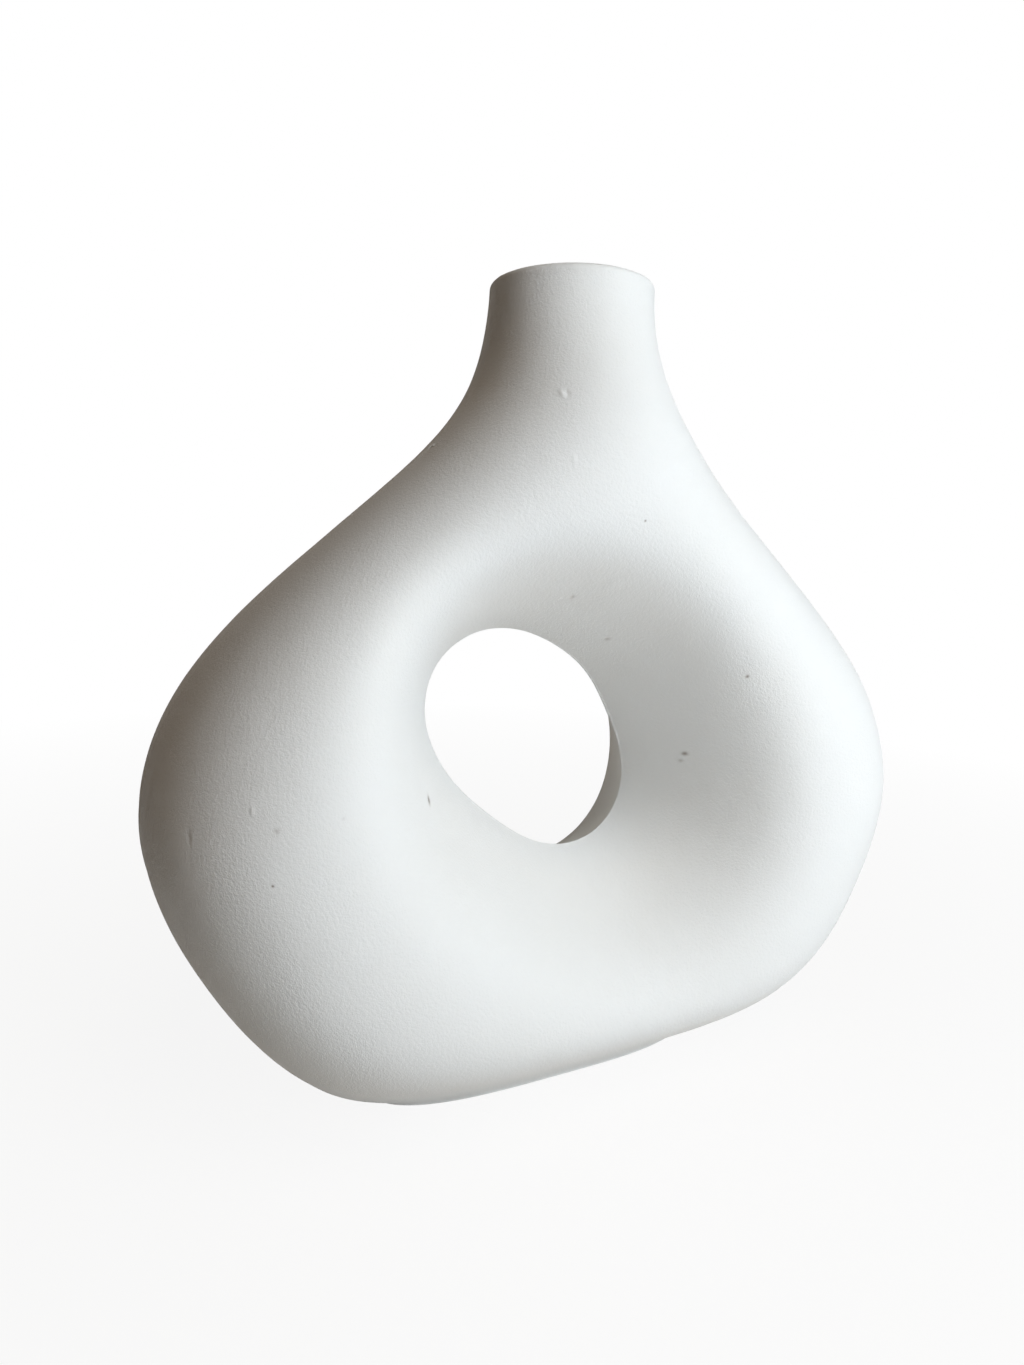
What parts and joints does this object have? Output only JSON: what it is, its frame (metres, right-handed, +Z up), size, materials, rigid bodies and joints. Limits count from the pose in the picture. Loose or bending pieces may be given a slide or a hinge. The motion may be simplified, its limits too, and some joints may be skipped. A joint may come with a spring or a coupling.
{
  "type": "donut vase",
  "caption": "Hollow ring-shaped vase: a rounded, flattened body with an oval hole through it, a short round neck and a narrow flat foot.",
  "frame": {"origin": "middle of the flat foot, on the surface that the vase stands on", "axes": "+Z up, out of the mouth; the front face looks along -Y; +X is the width, to the right seen from the front"},
  "size_m": [0.2956, 0.1352, 0.3007],
  "materials": {
    "front_half": "matt, fine-grained",
    "back_half": "matt, fine-grained",
    "base_slab": "matt, fine-grained"
  },
  "bodies": {
    "root": {"front_half": "front_half", "back_half": "back_half", "base_slab": "base_slab"}
  },
  "joints": []
}
